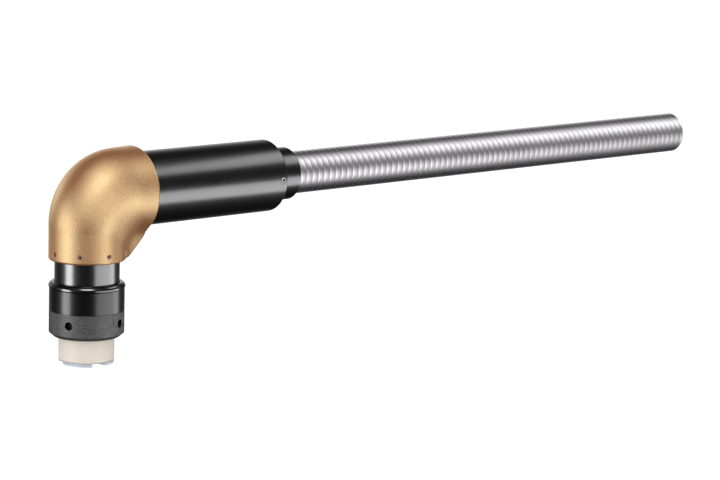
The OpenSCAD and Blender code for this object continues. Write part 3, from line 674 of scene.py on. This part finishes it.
def makeElbow(shape, finish):
    outer, side = elbowOuter(shape)
    rings = list(outer)

    def barrelRing(x, r):
        return np.stack([np.full_like(side, x), r * np.sin(side), r * np.cos(side)], -1)

    def neckRing(z, r):
        return np.stack([-r * np.cos(side), r * np.sin(side), np.full_like(side, z)], -1)

    def bendRing(turn, r):
        bend = shape["bend"]
        out = bend + r * np.cos(side)
        return np.stack([bend - out * math.cos(turn), r * np.sin(side), out * math.sin(turn) - bend], -1)

    socket, hollow, neck = shape["barrelSocket"], shape["hollow"], shape["neckSocket"]
    chamfer, steps = shape["socketChamfer"], shape["hollowRings"]
    rings += [barrelRing(shape["reach"], socket + chamfer), barrelRing(shape["reach"] - chamfer, socket),
              barrelRing(shape["barrelFront"], socket), barrelRing(shape["barrelFront"], hollow)]
    rings += [bendRing(math.pi / 2 * k / steps, hollow) for k in reversed(range(steps + 1))]
    rings += [neckRing(shape["neckTop"], hollow), neckRing(shape["neckTop"], neck),
              neckRing(chamfer - shape["drop"], neck), neckRing(-shape["drop"], neck + chamfer)]
    mesh = closedMesh("castElbow", np.concatenate(rings), ringFaces(len(rings), len(side)))

    # the web covers the first place of the ring of screws, so it has no hole
    places = placesRound(shape["screwHeight"], shape["screwTurn"], shape["screws"], 1)
    drill = drillOutline(shape["screwHole"], neck - drillRoom, shape["frontRadius"], shape["screwFlare"])
    cast = cutAway(mesh, toolSet(drill, places), shape["sharpAngle"])
    addPiece("cast_elbow", cast, finish, "elbow_brass", "torch", "elbow_housing")


makeElbow(elbowShape, castBrass(brassLook))
print("elbow cast")


# barrel and collar

barrelShape = {
    "front": 22.7, "seat": 38.7, "rear": 154.8, "radius": 25.4, "spigot": 25.0, "bore": 23.0,
    "edge": 1.2, "screws": 3, "screwX": 151.0, "screwHole": 2.05, "screwFlare": 0.25,
}
collarShape = {
    "front": 136.8, "face": 154.8, "rear": 172.8, "plug": 22.95, "step": 18.6, "edge": 0.6,
    "bore": 12.3, "socket": 15.35, "socketFront": 149.7,
}


def makeBarrel(shape, finish):
    outline = outlineOf(
        shape, ("bore", "front", smallEdge), ("spigot", "front", plainEdge), ("spigot", "seat", 0),
        ("radius", "seat", fineEdge), ("radius", "rear", shape["edge"]), ("bore", "rear", plainEdge))
    drill = drillOutline(shape["screwHole"], shape["bore"] - drillRoom, shape["radius"],
                         shape["screwFlare"])
    along = Matrix.Translation((shape["screwX"], 0, 0))
    places = [along @ Matrix.Rotation(2 * math.pi * k / shape["screws"], 4, "X")
              @ Matrix.Rotation(-math.pi / 2, 4, "Z") for k in range(shape["screws"])]
    mesh = cutAway(turned("turnedBarrel", outline, "x", sides=192), toolSet(drill, places))
    addPiece("turned_barrel", mesh, finish, "black_anodised", "torch", "barrel_tube")


def makeCollar(shape, finish):
    outline = outlineOf(
        shape, ("bore", "front", smallEdge), ("plug", "front", plainEdge), ("plug", "face", 0),
        ("step", "face", 0), ("step", "rear", shape["edge"]), ("socket", "rear", smallEdge),
        ("socket", "socketFront", 0), ("bore", "socketFront", 0))
    addPiece("turned_collar", turned("turnedCollar", outline, "x"), finish, "black_anodised", "torch",
             "hose_collar")


anodised = blackMetal("blackAnodised", (0.03, 0.03, 0.035), roughness=0.25, index=1.32,
                      along="x", lineDepth=0.01)
makeBarrel(barrelShape, anodised)
makeCollar(collarShape, anodised)
print("barrel and collar turned")


# neck and retaining cap

neckShape = {"radius": 22.05, "bore": 18.6, "low": -80.9, "top": -32.4}
capShape = {
    "radius": 25.55, "top": -59.2, "low": -96.4,
    "lipRound": 2.8, "lipProud": 0.45, "lipEnd": -30, "lipSteps": 20,
    "skirt": 22.35, "thread": 22.13, "threadTop": -65.9, "shoulder": -81.2, "pocket": 21.0,
    "ledge": -92.2, "mouth": 19.25, "knurlTop": -78.9, "bevelTop": -93.9, "bevel": 3.0, "score": 0.5,
    "scoreEdge": 0.08, "bandEdge": 0.1, "polishedHeight": 4.5, "holes": 4, "holeRadius": 3.0,
    "holeDepth": 3.5, "holeHeight": -86.2, "holeTurn": -65, "holeFlare": 0.08,
}
# depth of the knurled band and share of it that a tooth stands high and starts deep, then the space
# round a hole that is left without teeth
knurlShape = {"depth": 0.22, "tooth": 1.3, "sunk": 1.25, "columns": 150, "rows": 27, "clear": 3.35}


def makeNeck(shape, finish):
    outline = outlineOf(shape, ("bore", "low", smallEdge), ("radius", "low", plainEdge),
                        ("radius", "top", plainEdge), ("bore", "top", smallEdge))
    addPiece("turned_neck", turned("turnedNeck", outline, "z", sides=160), finish, "black_polished",
             "torch", "neck_tube")


def capOutline(shape):
    lipRound = shape["lipRound"]
    lipRadius, lipHeight = shape["radius"] + shape["lipProud"] - lipRound, shape["top"] - lipRound
    lip = [(lipRadius + lipRound * math.cos(angle), lipHeight + lipRound * math.sin(angle))
           for angle in np.radians(np.linspace(90, shape["lipEnd"], shape["lipSteps"]))]
    fall = lip[-1][1] - (shape["radius"] - lip[-1][0])
    sunk = shape["radius"] - knurlShape["depth"]
    score, top = shape["score"], shape["knurlTop"]
    body = outlineOf(
        shape, ("radius", fall, fineEdge), ("radius", top + score, shape["scoreEdge"]),
        (shape["radius"] - score / 2, top + score / 2, 0), (sunk, top, 0),
        (sunk, "bevelTop", shape["bandEdge"]), (shape["radius"] - shape["bevel"], "low", plainEdge),
        ("mouth", "low", smallEdge), ("mouth", "ledge", 0), ("pocket", "ledge", 0),
        ("pocket", "shoulder", 0), ("thread", "shoulder", 0), ("thread", "threadTop", 0),
        ("skirt", "threadTop", 0), ("skirt", "top", 0))
    return [Vector(point) for point in lip] + body


def knurlTree():
    graph, given = newTree("knurling", {
        "Radius": "Float", "Low": "Float", "High": "Float", "Depth": "Float", "Tooth": "Float",
        "Columns": "Int", "Rows": "Int", "Holes": "Int", "Hole Height": "Float", "Hole Turn": "Float",
        "Clear": "Float", "Centre": "Vector", "Finish": "Material"})
    columns, rows = given["Columns"], given["Rows"]
    points = graph.node("GeometryNodePoints", None, {"Count": columns * rows})
    index = graph.node("GeometryNodeInputIndex")
    row = (index / columns).maths("FLOOR")
    column = index - row * columns + (row % 2) * 0.5
    angle = column / columns * 2 * math.pi
    rise = (given["High"] - given["Low"]) / rows
    height = given["Low"] + rise * (row + 0.5)
    place = graph.node("ShaderNodeCombineXYZ", None, {
        "X": given["Radius"] * angle.maths("COSINE"), "Y": given["Radius"] * angle.maths("SINE"),
        "Z": height})
    spread = graph.node("GeometryNodeSetPosition", None, {"Geometry": points, "Position": place})
    halfWay = math.pi / given["Holes"]
    aside = (angle - given["Hole Turn"]).maths("WRAP", 0 - halfWay, halfWay) * given["Radius"]
    near = (aside ** 2 + (height - given["Hole Height"]) ** 2) ** 0.5
    tooth = graph.node("GeometryNodeMeshCone", {"fill_type": "NGON"}, {
        "Vertices": 4, "Radius Top": 0.0, "Radius Bottom": 1.0, "Depth": 1.0}, "Mesh")
    upright = graph.node("GeometryNodeTransform", None, {
        "Geometry": tooth, "Rotation": (0, math.pi / 2, 0)})
    sized = graph.node("GeometryNodeTransform", None, {
        "Geometry": upright, "Scale": graph.node("ShaderNodeCombineXYZ", None, {
            "X": given["Depth"] * given["Tooth"], "Y": given["Radius"] * math.pi / columns, "Z": rise})})
    turn = graph.node("ShaderNodeCombineXYZ", None, {"Z": angle})
    teeth = graph.node("GeometryNodeInstanceOnPoints", None, {
        "Points": spread, "Selection": near > given["Clear"], "Instance": sized, "Rotation": turn})
    closeTree(graph, graph.node("GeometryNodeTransform", None,
                                {"Geometry": teeth, "Translation": given["Centre"]}))
    return graph


def makeCap(shape, satin, polished, knurled, paintedHoleShade):
    hole, radius = shape["holeRadius"], shape["radius"]
    drill = drillOutline(hole, radius - shape["holeDepth"], radius, shape["holeFlare"])
    places = placesRound(shape["holeHeight"], shape["holeTurn"], shape["holes"])
    blank = turned("turnedCap", capOutline(shape), "z", sides=192)
    mesh = cutAway(blank, toolSet(drill, places, sides=48))
    addPiece("turned_cap", mesh, satin, "cap_black", "cap", "retaining_cap")
    mesh.materials.append(polished)
    mesh.materials.append(knurled)
    mesh.materials.append(paintedHoleShade)
    wallInner, wallOuter = shape["skirt"] - 0.5, radius - 0.4  # where the holes' walls lie
    for face in mesh.polygons:
        height = face.center.z / mm
        out = math.hypot(face.center.x - headX, face.center.y) / mm
        outside = out > radius - shape["bevel"]
        if outside and height > shape["top"] - shape["polishedHeight"]:
            face.material_index = 1
        # the holes' walls and floors take a near-black, rough finish: painted shade inside the spanner
        # holes
        elif abs(height - shape["holeHeight"]) < hole and wallInner < out < wallOuter:
            face.material_index = 3
        elif outside and height < shape["knurlTop"]:
            face.material_index = 2
    knurl = growMesh("knurling", knurlTree(), {
        "Radius": (radius - knurlShape["depth"] * knurlShape["sunk"]) * mm,
        "Low": shape["bevelTop"] * mm, "High": shape["knurlTop"] * mm,
        "Depth": knurlShape["depth"] * mm, "Tooth": knurlShape["tooth"],
        "Columns": knurlShape["columns"], "Rows": knurlShape["rows"], "Holes": shape["holes"],
        "Hole Height": shape["holeHeight"] * mm, "Hole Turn": math.radians(shape["holeTurn"]),
        "Clear": knurlShape["clear"] * mm, "Centre": (headX, 0, 0), "Finish": knurled})
    grip = bpy.data.objects.new("knurled_grip", knurl)
    bpy.context.scene.collection.objects.link(grip)
    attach(grip, "cap")


polished = blackMetal("polishedBlack", (0.03, 0.03, 0.035), roughness=0.18, index=1.32,
                      along="z", lineDepth=0.005)
makeNeck(neckShape, blackMetal("neckBlack", (0.03, 0.03, 0.035), roughness=0.24, index=1.36,
                               along="z", lineDepth=0.005))
satin = blackMetal("satinBlack", (0.045, 0.045, 0.05), roughness=0.26, index=1.21,
                   along="z", lineDepth=0.01)
knurled = knurledBlack(dark=(0.03, 0.03, 0.035), worn=(0.24, 0.24, 0.245), roughness=0.52, index=1.34)
# near-black, rough and hardly mirroring: painted shade for the walls and floors of the spanner holes
paintedHoleShade = blackMetal("holeShadeFinish", (0.012, 0.012, 0.012), roughness=0.7, index=1.15,
                     along="z", lineDepth=0.01)
makeCap(capShape, satin, polished, knurled, paintedHoleShade)
print("neck and cap turned")


# nozzle

nozzleShape = {
    "radius": 18.95, "low": -112.9, "edge": 1.0, "flange": 20.7, "flangeLow": -91.9, "top": -87.0,
    "noseBore": 15.8, "noseLow": -91.1, "bore": 14.2, "tipSeat": 16.5, "tipSeatTop": -107.8,
    "lowEdge": 0.6,
}


def makeNozzle(shape, finish):
    outline = outlineOf(
        shape, ("noseBore", "top", plainEdge), ("flange", "top", wideEdge),
        ("flange", "flangeLow", wideEdge), ("radius", "flangeLow", plainEdge),
        ("radius", shape["low"] + shape["edge"], shape["lowEdge"]),
        (shape["radius"] - shape["edge"], "low", plainEdge), ("tipSeat", "low", smallEdge),
        ("tipSeat", "tipSeatTop", 0), ("bore", "tipSeatTop", plainEdge),
        ("bore", "noseLow", plainEdge), ("noseBore", "noseLow", 0))
    addPiece("ceramic_nozzle", turned("ceramicNozzle", outline, "z"), finish, "nozzle_ceramic",
             "nozzle_set", "gas_nozzle")


makeNozzle(nozzleShape, glazedCeramic("creamCeramic", dark=(0.925, 0.885, 0.83),
                                      light=(0.965, 0.93, 0.88), roughness=0.34))
print("nozzle turned")


# set screws with hex sockets

screwSets = {
    "elbow": {"radius": 1.5, "length": 2.4, "socket": 1.6, "end": 24.5},
    "barrel": {"radius": 2.0, "length": 7.05, "socket": 1.9, "end": 25.3},
}
# sides, the point's radius and length as shares of the screw's radius, and the head's chamfer
screwForm = {"sides": 36, "pointRadius": 0.6, "pointLength": 0.4, "chamfer": 0.25}


def screwMesh(name, shape, form):
    radius, length, socket, chamfer = shape["radius"], shape["length"], shape["socket"], form["chamfer"]
    stem = bmesh.new()
    profile = [(radius * form["pointRadius"], -length), (radius, -length + radius * form["pointLength"]),
               (radius, -chamfer), (radius - chamfer, 0)]
    sides = form["sides"]
    angles = [2 * math.pi * j / sides for j in range(sides)]
    rings = [[stem.verts.new((s, r * math.cos(f), r * math.sin(f))) for f in angles] for r, s in profile]
    corner, halfFlat = socket / math.sqrt(3), math.pi / 6
    for depth in (0, -socket):
        ring = []
        for angle in angles:
            within = (angle + halfFlat) % (2 * halfFlat) - halfFlat
            reach = corner * math.cos(halfFlat) / math.cos(within)
            ring.append(stem.verts.new((depth, reach * math.cos(angle), reach * math.sin(angle))))
        rings.append(ring)
    for first, second in zip(rings, rings[1:]):
        for j in range(sides):
            k = (j + 1) % sides
            stem.faces.new((first[j], first[k], second[k], second[j]))
    stem.faces.new(rings[0])
    stem.faces.new(rings[-1])
    # the faces of the hex socket are marked for a dark bluish finish: painted shade inside the recess,
    # not a colour of the steel
    dark = stem.faces.layers.bool.new("socket")
    for face in stem.faces:
        centre = face.calc_center_median()
        face[dark] = centre.yz.length < corner and centre.x > -length
    bmesh.ops.recalc_face_normals(stem, faces=stem.faces)
    mesh = bpy.data.meshes.new(name)
    bmesh.ops.scale(stem, vec=(mm, mm, mm), verts=stem.verts)
    stem.to_mesh(mesh)
    stem.free()
    return mesh


def screwTree():
    graph, given = newTree("screwRing", {
        "Screw": "Object", "Count": "Int", "First": "Int", "Radius": "Float", "Turn": "Float",
        "Tilt": "Vector", "Centre": "Vector", "Finish": "Material"})
    points = graph.node("GeometryNodePoints", None, {"Count": given["Count"] - given["First"]})
    angle = ((graph.node("GeometryNodeInputIndex") + given["First"]) / given["Count"] * 2 * math.pi
             + given["Turn"])
    place = graph.node("ShaderNodeCombineXYZ", None, {
        "X": given["Radius"] * angle.maths("COSINE"), "Y": given["Radius"] * angle.maths("SINE")})
    ring = graph.node("GeometryNodeSetPosition", None, {"Geometry": points, "Position": place})
    screw = graph.node("GeometryNodeObjectInfo", None, {"Object": given["Screw"]}, "Geometry")
    turn = graph.node("ShaderNodeCombineXYZ", None, {"Z": angle})
    screws = graph.node("GeometryNodeInstanceOnPoints", None, {
        "Points": ring, "Instance": screw, "Rotation": turn})
    closeTree(graph, graph.node("GeometryNodeTransform", None, {
        "Geometry": screws, "Rotation": given["Tilt"], "Translation": given["Centre"]}))
    return graph


def makeScrews(name, node, shape, graph, finish, inside, values):
    pattern = bpy.data.objects.new("pattern", screwMesh(name + "Pattern", shape, screwForm))
    bpy.context.scene.collection.objects.link(pattern)
    mesh = growMesh(name, graph, {"Screw": pattern, "Radius": shape["end"] * mm, "Finish": finish,
                                  **values})
    bpy.data.objects.remove(pattern)
    addPiece(name, tidyMesh(mesh), finish, "screw_steel", "torch", node)
    # the socket's faces take the second finish, a painted shade for the inside of the recess
    mesh.materials.append(inside)
    for face, dark in zip(mesh.polygons, mesh.attributes["socket"].data):
        face.material_index = int(dark.value)
    mesh.attributes.remove(mesh.attributes["socket"])


screwSteel = turnedMetal("screwSteel", (0.9, 0.9, 0.93), roughness=0.4, along="x")
# the sockets' dark bluish colour is painted shade, standing in for the shade inside the hex recess
paintedSocketShade = mouldedPart("paintedSocketShade", (0.06, 0.06, 0.12), roughness=0.6)
screwRing = screwTree()
makeScrews("elbow_screws", "elbow_set_screws", screwSets["elbow"], screwRing, screwSteel,
           paintedSocketShade, {
    "Count": elbowShape["screws"], "First": 1, "Turn": math.radians(elbowShape["screwTurn"]),
    "Tilt": (0, 0, 0), "Centre": (headX, 0, elbowShape["screwHeight"] * mm)})
makeScrews("barrel_screws", "barrel_set_screws", screwSets["barrel"], screwRing, screwSteel,
           paintedSocketShade, {
    "Count": barrelShape["screws"], "First": 0, "Turn": -math.pi / 2, "Tilt": (0, math.pi / 2, 0),
    "Centre": (headX + barrelShape["screwX"] * mm, 0, 0)})
print("screws set")


# finishes for the nodes that keep their own shape: colour, roughness and direction of the tool lines

brass = turnedMetal("turnedBrass", (0.90, 0.75, 0.45), 0.24)
copper = turnedMetal("turnedCopper", (0.86, 0.56, 0.42), 0.26)
nodeFinishes = {
    "nozzle_tip": glazedCeramic("blueCeramic", (0.79, 0.82, 0.87), (0.86, 0.88, 0.92), 0.3),
    "hose_ferrule": turnedMetal("ferruleBrass", (0.90, 0.75, 0.45), 0.24, "x"),
    "insulator_sleeve": mouldedPart("insulatorPlastic", (0.88, 0.86, 0.80), 0.4),
    "torch_body": brass,
    "cooling_jacket": brass,
    "body_lock_ring": mouldedPart("lockPlastic", (0.2, 0.2, 0.21), 0.45),
    "collet_body": copper,
    "collet": copper,
    "electrode": turnedMetal("groundTungsten", (0.62, 0.62, 0.64), 0.35),
    "gas_diffuser": brass,
    "power_fitting": brass,
    "coolant_fitting": brass,
    "gas_fitting": brass,
    "crimp_ferrules": screwSteel,
    "power_hose": mouldedPart("powerRubber", (0.17, 0.17, 0.18), 0.5),
    "copper_rope": turnedMetal("ropeCopper", (0.86, 0.56, 0.42), 0.35, "x"),
    "coolant_hose": mouldedPart("coolantRubber", (0.16, 0.32, 0.66), 0.42),
    "gas_hose": mouldedPart("gasRubber", (0.12, 0.12, 0.125), 0.5),
    "sense_lead": mouldedPart("leadInsulation", (0.72, 0.12, 0.10), 0.35),
    "lead_grommet": mouldedPart("grommetRubber", (0.1, 0.1, 0.1), 0.6),
    "front_clamp_plate": turnedMetal("plateSteel", (0.72, 0.73, 0.75), 0.32, "x"),
    "rear_clamp_plate": turnedMetal("rearPlateSteel", (0.72, 0.73, 0.75), 0.32, "x"),
    "clamp_bolts": screwSteel,
    "barrel_o_ring": mouldedPart("sealRubber", (0.08, 0.08, 0.08), 0.4),
}
nodeFinishes["neck_o_ring"] = nodeFinishes["nozzle_o_ring"] = nodeFinishes["barrel_o_ring"]
for nodeName, finish in nodeFinishes.items():
    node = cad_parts[nodeName]
    node.data.materials.clear()
    node.data.materials.append(finish)
print("nodes finished:", len(nodeFinishes))


# floor, world and lamps

floorSetup = {"height": -0.8, "reach": 40.0, "grey": 0.9, "glow": 0.35}
skyLights = [  # azimuth, elevation, half width and brightness of each soft light that metal mirrors
    (-174, 11, 14, 1.25),
    (-114, 1, 19, 1.4),
    (-91, -13, 17, 1.55),
    (-60, 79, 19, 0.95),
    (-43, 36, 27, 1.2),
    (-21, 57, 14, 1.35),
    (1, 7, 18, 1.15),
    (24, -16, 13, 1.4),
    (31, -35, 13, 1.55),
    (71, -20, 18, 0.6),
    (71, 35, 16, 1.7),
    (145, 2, 18, 1.45),
]
worldSetup = {"shade": 0.01, "ambient": 0.9, "slope": 0.2, "brighter": -95}


def addFloor(setup):
    made, graph = newFinish("floorPaint")
    rays = graph.node("ShaderNodeLightPath", out="Is Camera Ray")
    seen = (rays + rays.also("Is Glossy Ray") + rays.also("Is Transmission Ray")).maths("MINIMUM", 1)
    paint = graph.node("ShaderNodeBsdfDiffuse", None, {"Color": (*[setup["grey"]] * 3, 1)})
    glow = graph.node("ShaderNodeEmission", None, {"Strength": seen * setup["glow"]})
    lit = graph.node("ShaderNodeAddShader", None, {0: paint, 1: glow})
    clear = graph.node("ShaderNodeBsdfTransparent")
    under = graph.node("ShaderNodeNewGeometry", out="Backfacing")
    graph.node("ShaderNodeOutputMaterial", None,
               {"Surface": graph.node("ShaderNodeMixShader", None, {0: under, 1: lit, 2: clear})})
    reach, height = setup["reach"], setup["height"]
    mesh = bpy.data.meshes.new("floor")
    mesh.from_pydata([(-reach, -reach, height), (reach, -reach, height), (reach, reach, height),
                      (-reach, reach, height)], [], [(0, 1, 2, 3)])
    mesh.materials.append(made)
    floor = bpy.data.objects.new("floor", mesh)
    bpy.context.scene.collection.objects.link(floor)
    floor.visible_glossy = False  # metal mirrors the world's soft lights in its place


def addWorld(setup, lights):
    world = bpy.data.worlds.new("studio")
    world.use_nodes = True
    world.node_tree.nodes.clear()
    world.cycles.sampling_method = "NONE"
    bpy.context.scene.world = world
    graph = Graph(world.node_tree)
    towards = graph.node("ShaderNodeTexCoord", out="Generated")
    mirrored = setup["shade"]
    for azimuth, elevation, halfWidth, brightness in lights:
        tightness = math.log(2) / (1 - math.cos(math.radians(halfWidth)))
        near = graph.node("ShaderNodeVectorMath", {"operation": "DOT_PRODUCT"},
                          {0: towards, 1: directionAt(azimuth, elevation)}, "Value")
        mirrored = ((near - 1) * tightness).maths("EXPONENT") * brightness + mirrored
    rays = graph.node("ShaderNodeLightPath", out="Is Camera Ray")
    backdrop = (rays + rays.also("Is Transmission Ray")).maths("MINIMUM", 1)
    side = graph.node("ShaderNodeVectorMath", {"operation": "DOT_PRODUCT"},
                      {0: towards, 1: directionAt(setup["brighter"], 0)}, "Value")
    strength = (backdrop + rays.also("Is Glossy Ray") * mirrored
                + rays.also("Is Diffuse Ray") * (side * setup["slope"] + setup["ambient"]))
    sky = graph.node("ShaderNodeBackground", None, {"Color": (1, 1, 1, 1), "Strength": strength})
    graph.node("ShaderNodeOutputWorld", None, {"Surface": sky})


# lamps that only the black pieces see, so that dark metal shows its long highlights
blackLamps = [  # name, azimuth, elevation, width, height, radiance
    ("overhead", -38, 45, 28, 30, 41),
    ("leftStrip", -101, -8, 25, 44, 31),
    ("lowRight", 31, -20, 80, 28, 15),
    ("highRight", 66, 41, 36, 15, 10),
]
lampPlace = {"aim": (headX / 2, 0, -0.02), "distance": 1.1}


def addLamps(lamps, pieces, place):
    receivers = bpy.data.collections.new("lampReceivers")
    for name in pieces:
        receivers.objects.link(bpy.data.objects[name])
    aim, distance = Vector(place["aim"]), place["distance"]
    for name, azimuth, elevation, width, height, radiance in lamps:
        light = bpy.data.lights.new(name, "AREA")
        light.shape = "RECTANGLE"
        light.size = 2 * distance * math.tan(math.radians(width / 2))
        light.size_y = 2 * distance * math.tan(math.radians(height / 2))
        light.energy = radiance * math.pi * light.size * light.size_y
        lamp = bpy.data.objects.new(name, light)
        bpy.context.scene.collection.objects.link(lamp)
        back = directionAt(azimuth, elevation)
        lamp.matrix_world = (Matrix.Translation(aim + back * distance)
                             @ back.to_track_quat("Z", "Y").to_matrix().to_4x4())
        lamp.visible_camera = False
        lamp.visible_diffuse = False
        lamp.light_linking.receiver_collection = receivers


addFloor(floorSetup)
addWorld(worldSetup, skyLights)
addLamps(blackLamps, ["turned_barrel", "turned_collar", "turned_neck", "turned_cap", "knurled_grip"],
         lampPlace)
bpy.context.scene.view_settings.view_transform = "Standard"
print("studio lit")
